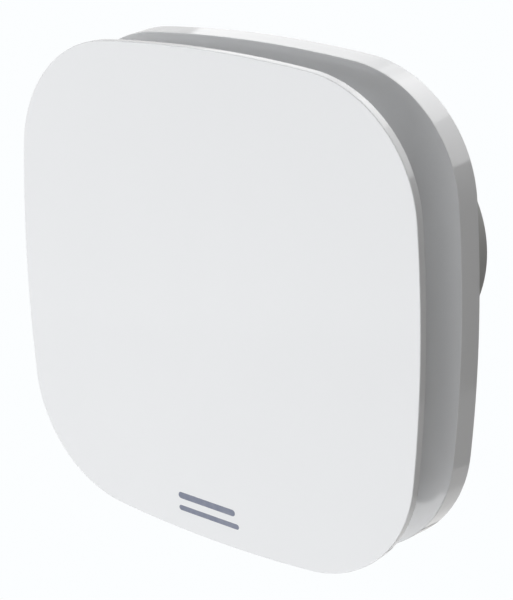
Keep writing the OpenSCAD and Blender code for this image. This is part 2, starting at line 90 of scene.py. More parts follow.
class Mat:
    """A small helper round a node tree: everything is procedural, in object coordinates."""

    def __init__(self, name, color=(0.8, 0.8, 0.8, 1), rough=0.5, metallic=0.0, ior=1.5, spec=None, coat=0.0,
                 coat_rough=0.05):
        self.m = bpy.data.materials.new(name)
        self.m.use_nodes = True
        self.nt = self.m.node_tree
        self.nt.nodes.clear()
        self.out = self.nt.nodes.new("ShaderNodeOutputMaterial")
        self.b = self.nt.nodes.new("ShaderNodeBsdfPrincipled")
        self.nt.links.new(self.b.outputs[0], self.out.inputs[0])
        self.b.inputs["Base Color"].default_value = color
        self.b.inputs["Roughness"].default_value = rough
        self.b.inputs["Metallic"].default_value = metallic
        self.b.inputs["IOR"].default_value = ior
        if spec is not None:
            self.b.inputs["Specular IOR Level"].default_value = spec
        if coat:
            self.b.inputs["Coat Weight"].default_value = coat
            self.b.inputs["Coat Roughness"].default_value = coat_rough
        self.m.diffuse_color = color
        self.tc = self.nt.nodes.new("ShaderNodeTexCoord")

    def node(self, kind, **values):
        n = self.nt.nodes.new(kind)
        for k, v in values.items():
            if k in n.inputs.keys():
                n.inputs[k].default_value = v
            else:
                setattr(n, k, v)
        return n

    def link(self, a, b):
        self.nt.links.new(a, b)

    def coords(self, scale=(1, 1, 1), rot=(0, 0, 0)):
        mp = self.node("ShaderNodeMapping")
        mp.inputs["Scale"].default_value = scale
        mp.inputs["Rotation"].default_value = rot
        self.link(self.tc.outputs["Object"], mp.inputs["Vector"])
        return mp.outputs["Vector"]

    def noise(self, scale, detail=2, rough=0.5, vec=None, distortion=0.0):
        n = self.node("ShaderNodeTexNoise", Scale=scale, Detail=detail, Roughness=rough, Distortion=distortion)
        self.link(vec if vec is not None else self.tc.outputs["Object"], n.inputs["Vector"])
        return n.outputs["Fac"]

    def voronoi(self, scale, vec=None, feature="F1", randomness=1.0):
        n = self.node("ShaderNodeTexVoronoi", feature=feature, Scale=scale, Randomness=randomness)
        self.link(vec if vec is not None else self.tc.outputs["Object"], n.inputs["Vector"])
        return n.outputs["Distance"]

    def wave(self, scale, vec=None, direction="X", distortion=0.0, kind="BANDS", profile="SIN", detail=0):
        n = self.node("ShaderNodeTexWave", wave_type=kind, bands_direction=direction, wave_profile=profile,
                      Scale=scale, Distortion=distortion, Detail=detail)
        self.link(vec if vec is not None else self.tc.outputs["Object"], n.inputs["Vector"])
        return n.outputs["Fac"]

    def ramp(self, fac, stops, interpolation="LINEAR"):
        n = self.node("ShaderNodeValToRGB")
        n.color_ramp.interpolation = interpolation
        e = n.color_ramp.elements
        while len(e) < len(stops):
            e.new(0.5)
        for el, (pos, col) in zip(e, stops):
            el.position = pos
            el.color = col if len(col) == 4 else (*col, 1)
        self.link(fac, n.inputs["Fac"])
        return n.outputs["Color"]

    def map_range(self, fac, lo, hi, f0=0.0, f1=1.0):
        n = self.node("ShaderNodeMapRange")
        n.inputs["From Min"].default_value = f0
        n.inputs["From Max"].default_value = f1
        n.inputs["To Min"].default_value = lo
        n.inputs["To Max"].default_value = hi
        self.link(fac, n.inputs["Value"])
        return n.outputs["Result"]

    def math(self, op, a, b=None, clamp=False):
        n = self.node("ShaderNodeMath", operation=op, use_clamp=clamp)
        for k, v in enumerate((a, b)):
            if v is None:
                continue
            if isinstance(v, (int, float)):
                n.inputs[k].default_value = v
            else:
                self.link(v, n.inputs[k])
        return n.outputs[0]

    def mix(self, fac, a, b, blend="MIX"):
        n = self.node("ShaderNodeMix", data_type="RGBA", blend_type=blend)
        for sock, v in ((n.inputs[0], fac), (n.inputs[6], a), (n.inputs[7], b)):
            if isinstance(v, (int, float)):
                sock.default_value = v
            elif isinstance(v, tuple):
                sock.default_value = v if len(v) == 4 else (*v, 1)
            else:
                self.link(v, sock)
        return n.outputs[2]

    def color(self, sock):
        self.link(sock, self.b.inputs["Base Color"])

    def rough(self, sock):
        self.link(sock, self.b.inputs["Roughness"])

    def bump(self, height, strength=0.2, distance=0.0002, prev=None):
        n = self.node("ShaderNodeBump")
        n.inputs["Strength"].default_value = strength
        n.inputs["Distance"].default_value = distance
        self.link(height, n.inputs["Height"])
        if prev is not None:
            self.link(prev, n.inputs["Normal"])
        self.link(n.outputs["Normal"], self.b.inputs["Normal"])
        return n.outputs["Normal"]


def scaled(c, k):
    return (min(1, c[0] * k), min(1, c[1] * k), min(1, c[2] * k), 1)


def gloss_plastic(name, color, rough=0.07, ior=1.6):
    """Polished injection-moulded plastic: faint orange peel, hazier patches and very slight tint variation."""
    m = Mat(name, color, rough, ior=ior)
    cloud = m.noise(9, 3, 0.55)
    m.color(m.mix(m.map_range(cloud, 0.0, 1.0, 0.35, 0.7), scaled(color, 0.992), scaled(color, 1.004)))
    haze = m.noise(60, 4, 0.6)
    m.rough(m.map_range(haze, rough * 0.85, rough * 1.25, 0.3, 0.7))
    peel = m.noise(420, 2, 0.5)
    m.bump(peel, 0.015, 0.0002)
    return m


def moulded(name, color, rough=0.42, grain=2600, strength=0.22, ior=1.5, tint=0.03):
    """Satin moulded plastic with spark-eroded grain and slight flow variation."""
    m = Mat(name, color, rough, ior=ior)
    flow = m.noise(24, 3, 0.6, distortion=0.6)
    m.color(m.mix(m.map_range(flow, 0, 1, 0.3, 0.7), scaled(color, 1 - tint), scaled(color, 1 + tint)))
    g = m.noise(grain, 3, 0.65)
    m.rough(m.map_range(g, rough * 0.85, min(1, rough * 1.2), 0.3, 0.7))
    m.bump(g, strength, 0.00008)
    return m


def foam(name, color, scale=900, strength=0.9):
    m = Mat(name, color, 0.95, ior=1.4)
    cells = m.voronoi(scale)
    fine = m.voronoi(scale * 2.7)
    both = m.math("MULTIPLY", cells, fine)
    # painted shade: the colour darkens into the pore pits and lightens on the cell walls between them
    m.color(m.ramp(both, [(0.0, scaled(color, 0.35)), (0.12, color), (0.5, scaled(color, 1.5))]))
    m.bump(m.math("ADD", cells, m.math("MULTIPLY", fine, 0.4)), strength, 0.0005)
    return m


def rubber(name, color, rough=0.62):
    m = Mat(name, color, rough, ior=1.5)
    n = m.noise(700, 4, 0.7)
    dust = m.noise(70, 5, 0.7)
    m.color(m.mix(m.map_range(dust, 0, 1, 0.45, 0.75), color, scaled(color, 1.5)))
    m.rough(m.map_range(n, rough * 0.85, min(1, rough * 1.2), 0.3, 0.7))
    m.bump(n, 0.25, 0.0001)
    return m


def metal(name, color, rough=0.3, brushed=(1, 1, 40), strength=0.12, patch=0.06):
    m = Mat(name, color, rough, metallic=1.0)
    vec = m.coords(scale=brushed)
    n = m.noise(900, 4, 0.6, vec)
    p = m.noise(220, 4, 0.6)
    m.color(m.mix(m.map_range(p, 0, 1, 0.3, 0.7), scaled(color, 1 - patch), scaled(color, 1 + patch)))
    m.rough(m.map_range(n, rough * 0.7, min(1, rough * 1.4), 0.25, 0.75))
    m.bump(n, strength, 0.00003)
    return m


WHITE = (0.785, 0.80, 0.82, 1)
M = {}
M["white_gloss"] = gloss_plastic("white_gloss", WHITE)
M["drum_grey"] = moulded("drum_grey", (0.455, 0.46, 0.458, 1), 0.5, 1800, 0.25)
M["foam_dark"] = foam("foam_dark", (0.055, 0.056, 0.06, 1))
M["cover_white"] = moulded("cover_white", (0.76, 0.77, 0.77, 1), 0.36, 2400, 0.2)
M["grille_white"] = moulded("grille_white", (0.78, 0.79, 0.79, 1), 0.33, 2600, 0.15)
M["baffle_grey"] = foam("baffle_grey", (0.22, 0.225, 0.23, 1), 1100, 0.8)
M["divider_white"] = moulded("divider_white", (0.70, 0.71, 0.71, 1), 0.45)
M["cap_grey"] = moulded("cap_grey", (0.60, 0.60, 0.59, 1), 0.48, 1700, 0.28)
M["fan_black"] = moulded("fan_black", (0.018, 0.018, 0.02, 1), 0.4, 2200, 0.3)
M["rotor_black"] = moulded("rotor_black", (0.028, 0.029, 0.031, 1), 0.32, 2600, 0.2)
M["component_black"] = moulded("component_black", (0.02, 0.02, 0.021, 1), 0.45, 3200, 0.3)
M["connector_white"] = moulded("connector_white", (0.78, 0.76, 0.69, 1), 0.4)
M["lead_red"] = moulded("lead_red", (0.48, 0.03, 0.025, 1), 0.35, 900, 0.1)
M["dial_blue"] = moulded("dial_blue", (0.10, 0.16, 0.33, 1), 0.38, 2600, 0.2)
M["sensor_white"] = moulded("sensor_white", (0.76, 0.77, 0.76, 1), 0.42)
M["terminal_cream"] = moulded("terminal_cream", (0.76, 0.71, 0.55, 1), 0.36)
M["clamp_white"] = moulded("clamp_white", (0.72, 0.73, 0.73, 1), 0.42)
M["peg_white"] = moulded("peg_white", (0.77, 0.78, 0.79, 1), 0.34)
M["filter_frame_grey"] = moulded("filter_frame_grey", (0.27, 0.31, 0.34, 1), 0.44, 2000, 0.3)
M["grommet_rubber"] = rubber("grommet_rubber", (0.022, 0.022, 0.024, 1))
M["bearing_steel"] = metal("bearing_steel", (0.70, 0.70, 0.71, 1), 0.16, (1, 40, 1))
M["shaft_steel"] = metal("shaft_steel", (0.66, 0.66, 0.67, 1), 0.2, (1, 60, 1))
M["magnet_dark"] = metal("magnet_dark", (0.10, 0.10, 0.105, 1), 0.5, (1, 1, 1), 0.3)
M["pot_grey"] = metal("pot_grey", (0.42, 0.43, 0.44, 1), 0.34, (30, 1, 1))

# zinc-plated screws: a faint blue and straw bloom
zinc = metal("screw_zinc", (0.60, 0.61, 0.60, 1), 0.3, (1, 20, 1), 0.15)
bloom = zinc.noise(160, 3, 0.6)
zinc.color(zinc.ramp(bloom, [(0.3, (0.56, 0.59, 0.62, 1)), (0.55, (0.64, 0.64, 0.61, 1)), (0.75, (0.60, 0.57, 0.49, 1))]))
M["screw_zinc"] = zinc

# laminated stator steel: stacked sheets along the fan's axis
lam = metal("lamination_steel", (0.42, 0.42, 0.43, 1), 0.36, (1, 1, 1))
sheets = lam.wave(320, direction="Y")
lam.color(lam.ramp(sheets, [(0.0, (0.16, 0.16, 0.17, 1)), (0.25, (0.44, 0.44, 0.45, 1)), (1, (0.50, 0.50, 0.50, 1))]))
lam.bump(sheets, 0.5, 0.0001)
M["lamination_steel"] = lam

# enamelled winding wire, turn beside turn; the colour carries painted shade in the grooves between turns and a painted
# highlight on each turn's crest
cu = metal("copper_wire", (0.62, 0.26, 0.10, 1), 0.28, (1, 1, 1))
turns = cu.wave(420, direction="Y", distortion=0.4)
# painted shade and painted highlight: the colour darkens in the grooves between turns and lightens on their crests
cu.color(cu.ramp(turns, [(0.0, (0.22, 0.07, 0.03, 1)), (0.4, (0.62, 0.27, 0.11, 1)), (1, (0.75, 0.38, 0.18, 1))]))
cu.bump(turns, 0.8, 0.00025)
M["copper_wire"] = cu

# circuit board: solder mask over a pattern of tracks and a faint glass weave
pcb = Mat("board_green", (0.012, 0.12, 0.04, 1), 0.3)
vec = pcb.coords(scale=(1, 1, 1))
tr = pcb.node("ShaderNodeTexBrick", Scale=95.0)
tr.offset = 0.37
tr.inputs["Mortar Size"].default_value = 0.09
tr.inputs["Mortar Smooth"].default_value = 0.05
rot = pcb.coords(scale=(1, 1, 1), rot=(math.pi / 2, 0, 0))
pcb.link(rot, tr.inputs["Vector"])
weave = pcb.wave(700, rot, "DIAGONAL")
base = pcb.mix(pcb.map_range(weave, 0, 1), (0.010, 0.105, 0.036, 1), (0.016, 0.13, 0.045, 1))
pcb.color(pcb.mix(tr.outputs["Fac"], base, (0.03, 0.23, 0.075, 1)))
pcb.bump(tr.outputs["Fac"], 0.25, 0.00006)
M["board_green"] = pcb

tape = Mat("transformer_yellow", (0.62, 0.47, 0.08, 1), 0.32)
wr = tape.wave(130, direction="Z", distortion=0.3)
tape.color(tape.ramp(wr, [(0.0, (0.40, 0.29, 0.05, 1)), (0.2, (0.62, 0.47, 0.09, 1)), (1, (0.68, 0.53, 0.12, 1))]))
tape.bump(wr, 0.3, 0.0001)
M["transformer_yellow"] = tape

cap = Mat("capacitor_blue", (0.02, 0.035, 0.11, 1), 0.24)
cw = cap.noise(140, 3, 0.5)
cap.color(cap.mix(cap.map_range(cw, 0, 1, 0.35, 0.65), (0.016, 0.028, 0.095, 1), (0.03, 0.05, 0.15, 1)))
cap.bump(cap.noise(500, 2), 0.12, 0.0001)
M["capacitor_blue"] = cap

# ribbed exchanger sheets; the colour carries painted shade in the rib valleys and painted light on the rib crests
ex = Mat("plate_plastic", (0.55, 0.64, 0.70, 1), 0.3, ior=1.5)
rib = ex.wave(62, direction="Z")
# painted shade and painted light: darker in the rib valleys, lighter on the rib crests
ex.color(ex.ramp(rib, [(0.0, (0.44, 0.53, 0.60, 1)), (0.5, (0.56, 0.65, 0.71, 1)), (1, (0.66, 0.74, 0.79, 1))]))
ex.bump(rib, 0.5, 0.0006)
M["plate_plastic"] = ex
M["end_plastic"] = moulded("end_plastic", (0.24, 0.33, 0.43, 1), 0.42)

# non-woven filter wadding
fm = Mat("filter_media", (0.60, 0.61, 0.59, 1), 0.95, ior=1.35)
fib = fm.noise(800, 6, 0.75, fm.coords(scale=(1, 1, 3.5)))
fib2 = fm.noise(800, 6, 0.75, fm.coords(scale=(3.5, 1, 1), rot=(0, 0.6, 0)))
clump = fm.noise(90, 5, 0.7)
both = fm.math("ADD", fm.math("MULTIPLY", fib, 0.5), fm.math("MULTIPLY", fib2, 0.5))
dusty = fm.mix(fm.map_range(clump, 0, 1, 0.35, 0.75), (0.66, 0.67, 0.65, 1), (0.47, 0.47, 0.45, 1))
fm.color(fm.mix(fm.map_range(both, 0, 1, 0.35, 0.65), (0.36, 0.36, 0.35, 1), dusty))
fm.b.inputs["Sheen Weight"].default_value = 0.3
fm.b.inputs["Sheen Roughness"].default_value = 0.5
fm.bump(both, 0.9, 0.0007)
M["filter_media"] = fm

lp = Mat("light_pipe_clear", (0.45, 0.85, 0.55, 1), 0.08, ior=1.49)
lp.b.inputs["Transmission Weight"].default_value = 0.75
lp.bump(lp.noise(900, 2), 0.05, 0.00005)
hz = lp.noise(300, 2)
lp.rough(lp.map_range(hz, 0.05, 0.14, 0.3, 0.7))
M["light_pipe_clear"] = lp

SLOT_OF = {s["node"]: s["material_slot"] for s in frame["record"]["subparts"]}
BODY_OF = {n: b for b, ns in frame["record"]["behaviour"]["bodies"].items() for n in ns}


# ------------------------------------------------------------------ mesh helpers
def finish_mesh(me, angle=35):
    for p in me.polygons:
        p.use_smooth = True
    me.set_sharp_from_angle(angle=math.radians(angle))


def new_piece(name, verts, faces, node, mat=None, angle=35, hide=True, recalc=True):
    """A Blender-made piece that rides on the node's body; it stands for the CAD node when hide is true."""
    me = bpy.data.meshes.new(name)
    me.from_pydata([tuple(v) for v in verts], [], faces)
    me.validate()
    bm = bmesh.new()
    bm.from_mesh(me)
    bmesh.ops.remove_doubles(bm, verts=bm.verts, dist=1e-7)
    if recalc:
        bmesh.ops.recalc_face_normals(bm, faces=bm.faces)
    bm.to_mesh(me)
    bm.free()
    finish_mesh(me, angle)
    ob = bpy.data.objects.new(name, me)
    SCENE.collection.objects.link(ob)
    m = mat or M[SLOT_OF[node]]
    me.materials.append(m.m)
    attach(ob, BODY_OF[node])
    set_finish(ob, SLOT_OF[node])
    if hide:
        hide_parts(node)
    return ob


def add_bevel(ob, width, segments=2, angle=32, weld=False):
    if weld:
        w = ob.modifiers.new("weld", "WELD")
        w.merge_threshold = 2e-6
    b = ob.modifiers.new("bevel", "BEVEL")
    b.width = width
    b.segments = segments
    b.limit_method = "ANGLE"
    b.angle_limit = math.radians(angle)
    b.use_clamp_overlap = True
    b.harden_normals = False
    n = ob.modifiers.new("normals", "WEIGHTED_NORMAL")
    n.keep_sharp = True
    n.weight = 60
    return b


def dress(node, bevel=0.0, segments=2, angle=32):
    """Material and softened edges for a CAD node that stays as it is."""
    ob = NODES[node]
    ob.data.materials.clear()
    ob.data.materials.append(M[SLOT_OF[node]].m)
    for p in ob.data.polygons:
        p.use_smooth = True
        p.material_index = 0
    ob.data.set_sharp_from_angle(angle=math.radians(30))
    if bevel:
        add_bevel(ob, bevel * MM, segments, angle, weld=True)
    else:
        w = ob.modifiers.new("weld", "WELD")
        w.merge_threshold = 2e-6


# ------------------------------------------------------------------ the outline
HALF, SIDE_R, CORNER_R = 118.0, 670.0, 62.0
SIDE_C = HALF - SIDE_R
CORNER_C = (SIDE_C + math.sqrt(2 * (SIDE_R - CORNER_R) ** 2 - SIDE_C ** 2)) / 2
SIDE_A = math.atan2(CORNER_C, CORNER_C - SIDE_C)


def outline(inset, n_corner=36, n_side=30):
    pts = []
    for k in range(4):
        ck, sk = (1, 0, -1, 0)[k], (0, 1, 0, -1)[k]
        for j in range(n_corner + n_side):
            if j <= n_corner:
                a = SIDE_A + (math.pi / 2 - 2 * SIDE_A) * j / n_corner
                x, z = CORNER_C + (CORNER_R - inset) * math.cos(a), CORNER_C + (CORNER_R - inset) * math.sin(a)
            else:
                a = -SIDE_A + 2 * SIDE_A * (j - n_corner) / n_side
                x, z = -(SIDE_R - inset) * math.sin(a), SIDE_C + (SIDE_R - inset) * math.cos(a)
            pts.append((x * ck - z * sk, x * sk + z * ck))
    return pts


def fillet(p0, p1, p2, r, n=5):
    """Points that round the corner p1 of a 2D path with radius r."""
    a, b = Vector(p0) - Vector(p1), Vector(p2) - Vector(p1)
    a.normalize()
    b.normalize()
    half = math.acos(max(-1, min(1, a.dot(b)))) / 2
    t = r / math.tan(half)
    c = Vector(p1) + (a + b).normalized() * (r / math.sin(half))
    s, e = Vector(p1) + a * t - c, Vector(p1) + b * t - c
    out = []
    for k in range(n + 1):
        f = k / n
        v = s.lerp(e, f)
        ang = s.angle(e)
        v = (s * math.sin((1 - f) * ang) + e * math.sin(f * ang)) / math.sin(ang)
        out.append(tuple(c + v))
    return out


def rounded(path, radii, closed=True, n=5):
    out = []
    m = len(path)
    for k in range(m):
        r = radii[k]
        if not r or (not closed and k in (0, m - 1)):
            out.append(path[k])
        else:
            out += fillet(path[k - 1], path[k], path[(k + 1) % m], r, n)
    return out


def sweep(section, n_corner=36, n_side=30):
    """Closed section of (inset, h) in mm carried round the outline: a grid of quads."""
    rings = [outline(i, n_corner, n_side) for i, _ in section]
    n = len(rings[0])
    verts = [Vector((rings[q][s][0], -section[q][1], rings[q][s][1])) * MM for s in range(n) for q in range(len(section))]
    m = len(section)
    faces = [(s * m + q, s * m + (q + 1) % m, ((s + 1) % n) * m + (q + 1) % m, ((s + 1) % n) * m + q)
             for s in range(n) for q in range(m)]
    return verts, faces


def lathe(section, centre, n=128, axis="Y", closed=True):
    """Section of (radius, y) in mm turned about a line along Y through (x, z)."""
    verts, faces = [], []
    m = len(section)
    for s in range(n):
        a = 2 * math.pi * s / n
        for r, y in section:
            verts.append(Vector((centre[0] + r * math.cos(a), y, centre[1] + r * math.sin(a))) * MM)
    last = m if closed else m - 1
    for s in range(n):
        t = (s + 1) % n
        for q in range(last):
            q1 = (q + 1) % m
            faces.append((s * m + q, s * m + q1, t * m + q1, t * m + q))
    return verts, faces


# ------------------------------------------------------------------ front panel
FRONT = 44.97            # the face; the printed mark stands 0.03 mm proud of it, level with the CAD's front


def panel():
    R_EDGE = 0.5
    sec = [(3.4, FRONT), (1.7, FRONT)] + fillet((3, FRONT), (0, FRONT), (0, 42), R_EDGE, 8) + \
        fillet((0, 45), (0, 40.4), (2.2, 40.4), 0.45, 4) + fillet((0, 40.4), (2.2, 40.4), (2.2, 42.5), 0.4, 4) + \
        fillet((2.2, 40.4), (2.2, 42.5), (4.2, 42.5), 0.5, 4) + [(4.2, 42.5)]
    rings = [outline(i) for i, _ in sec]
    n, m = len(rings[0]), len(sec)
    verts = [Vector((rings[q][s][0], -sec[q][1], rings[q][s][1])) * MM for s in range(n) for q in range(m)]
    faces = [(s * m + q, s * m + q + 1, ((s + 1) % n) * m + q + 1, ((s + 1) % n) * m + q)
             for s in range(n) for q in range(m - 1)]
    # the flat front and back, as concentric rings so the faces stay even
    def cap(ring_of, inset0, h, q):
        prev = [s * m + q for s in range(n)]
        for inset in (14, 28, 42, 55):
            ring = outline(inset)
            base = len(verts)
            verts.extend(Vector((x, -h, z)) * MM for x, z in ring)
            cur = [base + s for s in range(n)]
            for s in range(n):
                faces.append((prev[s], prev[(s + 1) % n], cur[(s + 1) % n], cur[s]))
            prev = cur
        faces.append(tuple(prev))
    cap(None, 3.4, FRONT, 0)
    cap(None, 4.2, 42.5, m - 1)
    ob = new_piece("front_panel_shell", verts, faces, "front_panel", angle=60)
    w = ob.modifiers.new("normals", "WEIGHTED_NORMAL")
    w.keep_sharp = True
    return ob


front = panel()

# printed mark: two plain bars in slate ink
ink = Mat("mark_ink", srgb(122, 128, 145), 0.34, ior=1.5)
grain = ink.noise(1500, 3, 0.6)
wear = ink.noise(190, 4, 0.6)
ink.color(ink.mix(ink.map_range(wear, 0.0, 1.0, 0.35, 0.7), srgb(118, 124, 142), srgb(131, 136, 151)))
ink.rough(ink.map_range(grain, 0.28, 0.42, 0.3, 0.7))
ink.bump(grain, 0.12, 0.00003)


def mark_bar(name, x0, x1, z, height):
    """A bar with round ends, its top edge eased; it sinks a little into the panel so no gap shows."""
    r = height / 2
    ring = []
    for k in range(17):
        a = -math.pi / 2 + math.pi * k / 16
        ring.append((x1 - r + r * math.cos(a), z + r * math.sin(a), math.cos(a), math.sin(a)))
    for k in range(17):
        a = math.pi / 2 + math.pi * k / 16
        ring.append((x0 + r + r * math.cos(a), z + r * math.sin(a), math.cos(a), math.sin(a)))
    n = len(ring)
    verts, faces = [], []
    levels = ((0.0, 44.90), (0.0, 44.985), (0.02, 45.0))
    for inset, h in levels:
        verts += [Vector((x - nx * inset, -h, zz - nz * inset)) * MM for x, zz, nx, nz in ring]
    for q in range(len(levels) - 1):
        for k in range(n):
            faces.append((q * n + k, q * n + (k + 1) % n, (q + 1) * n + (k + 1) % n, (q + 1) * n + k))
    faces.append(tuple(range(n)))
    faces.append(tuple((len(levels) - 1) * n + k for k in range(n)))
    me = new_piece(name, verts, faces, "front_panel", ink, hide=False)
    del me["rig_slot"]
    return me


mark_bar("panel_mark_upper", -20.6, 14.8, -99.9, 3.3)
mark_bar("panel_mark_lower", -20.3, 17.2, -106.4, 2.7)



def frame_bar(name, half_out, half_in, h0, h1, node, body_mat=None, r=0.35):
    """A square ring of rib with rounded top edges."""
    verts, faces = [], []
    sec = [(half_in, h1), (half_in, h0 + r), (half_in + r * 0.3, h0 + r * 0.3), (half_in + r, h0), (half_out - r, h0),
           (half_out - r * 0.3, h0 + r * 0.3), (half_out, h0 + r), (half_out, h1)]
    m = len(sec)
    for sx, sz in ((1, 1), (-1, 1), (-1, -1), (1, -1)):
        for a, h in sec:
            verts.append(Vector((sx * a, -h, sz * a)) * MM)
    for s in range(4):
        t = (s + 1) % 4
        for q in range(m):
            q1 = (q + 1) % m
            faces.append((s * m + q, s * m + q1, t * m + q1, t * m + q))
    return new_piece(name, verts, faces, node, body_mat, hide=False)


frame_bar("panel_rib", 82, 80.8, 41.0, 42.5, "front_panel")


# ------------------------------------------------------------------ base: side wall, cove, crest
SIDE_H = 13.0
COVE_START = math.radians(8)
dx, dh = 24 - 0.8, 31 - SIDE_H
TURN = 2 * (math.atan2(dh, dx) - COVE_START)
COVE_R = math.hypot(dx, dh) / (2 * math.sin(TURN / 2))
CI, CH = 0.8 - COVE_R * math.sin(COVE_START), SIDE_H + COVE_R * math.cos(COVE_START)


def cove_pt(a, extra=0.0):
    return (CI + (COVE_R + extra) * math.sin(a), CH - (COVE_R + extra) * math.cos(a))


def base_shell():
    arc = [cove_pt(COVE_START + TURN * k / 26) for k in range(27)]
    inner = [cove_pt(a, 2.2) for a in
             [math.asin((26 - CI) / (COVE_R + 2.2)) + (math.asin((3.2 - CI) / (COVE_R + 2.2)) - math.asin((26 - CI) / (COVE_R + 2.2))) * k / 12
              for k in range(13)]]
    sec = fillet((2.4, 0), (0, 0), (0.8, SIDE_H), 0.4, 4)
    sec += [(0.4, SIDE_H / 2)]
    sec += fillet((0, 0), (0.8, SIDE_H), arc[3], 0.5, 6)
    sec += arc[2:-1]
    sec += fillet(arc[-3], (24, 31), (26, 31), 0.5, 5)
    sec += fillet((24, 31), (26, 31), inner[2], 0.4, 4)
    sec += inner[1:]
    sec += [(2.4, 0.0)]
    v, f = sweep(sec)
    ob = new_piece("base_shell", v, f, "base_housing", angle=50)
    w = ob.modifiers.new("normals", "WEIGHTED_NORMAL")
    w.keep_sharp = True
    return ob


base_shell()


# ------------------------------------------------------------------ drum
def drum():
    r0, r1 = 59.3, 61.5
    sec = [(60.6, -3.0), (60.6, 0), (r1 - 0.2, 0.0), (r1, 0.2)] + \
        [(r1, 94.0)] + [(p[0], p[1]) for p in fillet((r1, 90), (r1, 95), (r0, 95), 0.8, 5)] + \
        [(p[0], p[1]) for p in fillet((r1, 95), (r0, 95), (r0, 90), 0.5, 4)] + \
        [(r0, 60), (r0, 30), (r0, -5.0 + 0.5), (r0 + 0.5, -5.0), (68.6, -5.0), (69, -4.6), (69, -3.3), (68.7, -3.0)]
    v, f = lathe(sec, (0, 0), 160)
    ob = new_piece("drum_tube", v, f, "duct_drum", angle=40)
    w = ob.modifiers.new("normals", "WEIGHTED_NORMAL")
    w.keep_sharp = True


drum()


# ------------------------------------------------------------------ foam, seals and filter wadding
def soft_piece(node, voxel, smooth=4, depth=0.12, scale=0.9, seed=0.0):
    """Die-cut foam: the CAD solid with eased edges and a slightly uneven skin, never outside its own box."""
    src = NODES[node]
    lo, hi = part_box(node)
    me = src.data.copy()
    tmp = bpy.data.objects.new(node + "_tmp", me)
    SCENE.collection.objects.link(tmp)
    w = tmp.modifiers.new("weld", "WELD")
    w.merge_threshold = 2e-6
    r = tmp.modifiers.new("remesh", "REMESH")
    r.mode = "VOXEL"
    r.voxel_size = voxel * MM
    r.adaptivity = 0.0
    sm = tmp.modifiers.new("smooth", "SMOOTH")
    sm.factor = 0.5
    sm.iterations = smooth
    dg = bpy.context.evaluated_depsgraph_get()
    out = bpy.data.meshes.new_from_object(tmp.evaluated_get(dg))
    bpy.data.objects.remove(tmp)
    out.name = node + "_foam"
    normals = [v.normal.copy() for v in out.vertices]
    for v, nrm in zip(out.vertices, normals):
        q = v.co / (scale * MM) + Vector((seed, seed * 1.7, -seed))
        f = 0.5 + 0.5 * noise.noise(q) * 0.7 + 0.15 * noise.noise(q * 2.7)
        v.co -= nrm * (depth * MM * max(0.0, min(1.0, f)))
        v.co = Vector([min(max(c, a), b) for c, a, b in zip(v.co, lo, hi)])
    out.materials.clear()
    out.materials.append(M[SLOT_OF[node]].m)
    for p in out.polygons:
        p.use_smooth = True
        p.material_index = 0
    ob = bpy.data.objects.new(node + "_foam", out)
    SCENE.collection.objects.link(ob)
    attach(ob, BODY_OF[node])
    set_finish(ob, SLOT_OF[node])
    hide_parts(node)
    return ob


SOFT = {"gap_baffle": (0.42, 3), "duct_seal": (0.42, 2), "fan_gaskets": (0.5, 2), "drum_gasket": (0.55, 2),
        "core_seal": (0.9, 2)}
for k, (node, (voxel, smooth)) in enumerate(sorted(SOFT.items())):
    soft_piece(node, voxel, smooth, 0.12, 1.6, 3.1 * k)


def wadding():
    """Needled wadding held in the slide-out frame: crowned between its edges, dimpled and uneven."""
    x0, x1, z0, z1, h0, h1 = -32.0, 32.0, 6.5, 57.5, 32.3, 34.9
    nx, nz = 128, 102
    mid = (h0 + h1) / 2
    verts, faces = [], []

    def height(i, j, side):
        u, v = i / nx, j / nz
        x, z = x0 + (x1 - x0) * u, z0 + (z1 - z0) * v
        edge = min(x - x0, x1 - x, z - z0, z1 - z)
        t = min(1.0, edge / 1.5)
        crown = math.sqrt(max(0.0, 1 - (1 - t) ** 2))
        q = Vector((x, z, 7.0 * side))
        rough = 0.16 * noise.noise(q * 1.3) + 0.10 * noise.noise(q * 3.1) + 0.05 * noise.noise(q * 7.3)
        gx, gz = (x + 36) / 8.0, (z + 1) / 8.0 + 0.5 * (int(math.floor((x + 36) / 8.0)) % 2)
        ddx, ddz = gx - math.floor(gx) - 0.5, gz - math.floor(gz) - 0.5
        needle = 0.34 * math.exp(-(ddx * ddx + ddz * ddz) / 0.012)
        depth = max(0.0, 0.22 - rough + needle)
        return mid + side * crown * max(0.15, (h1 - h0) / 2 - depth * (0.3 + 0.7 * crown))

    for side in (-1, 1):
        for j in range(nz + 1):
            for i in range(nx + 1):
                x, z = x0 + (x1 - x0) * i / nx, z0 + (z1 - z0) * j / nz
                verts.append(Vector((x, -height(i, j, side), z)) * MM)
    row, page = nx + 1, (nx + 1) * (nz + 1)
    for s in (0, 1):
        for j in range(nz):
            for i in range(nx):
                a = s * page + j * row + i
                quad = (a, a + 1, a + row + 1, a + row)
                faces.append(quad if s else quad[::-1])
    rim = [i for i in range(nx + 1)] + [j * row + nx for j in range(1, nz + 1)] + \
        [nz * row + i for i in range(nx - 1, -1, -1)] + [j * row for j in range(nz - 1, 0, -1)]
    for k, a in enumerate(rim):
        b = rim[(k + 1) % len(rim)]
        faces.append((a, b, page + b, page + a))
    return new_piece("filter_wadding", verts, faces, "filter_pad", angle=70)


wadding()


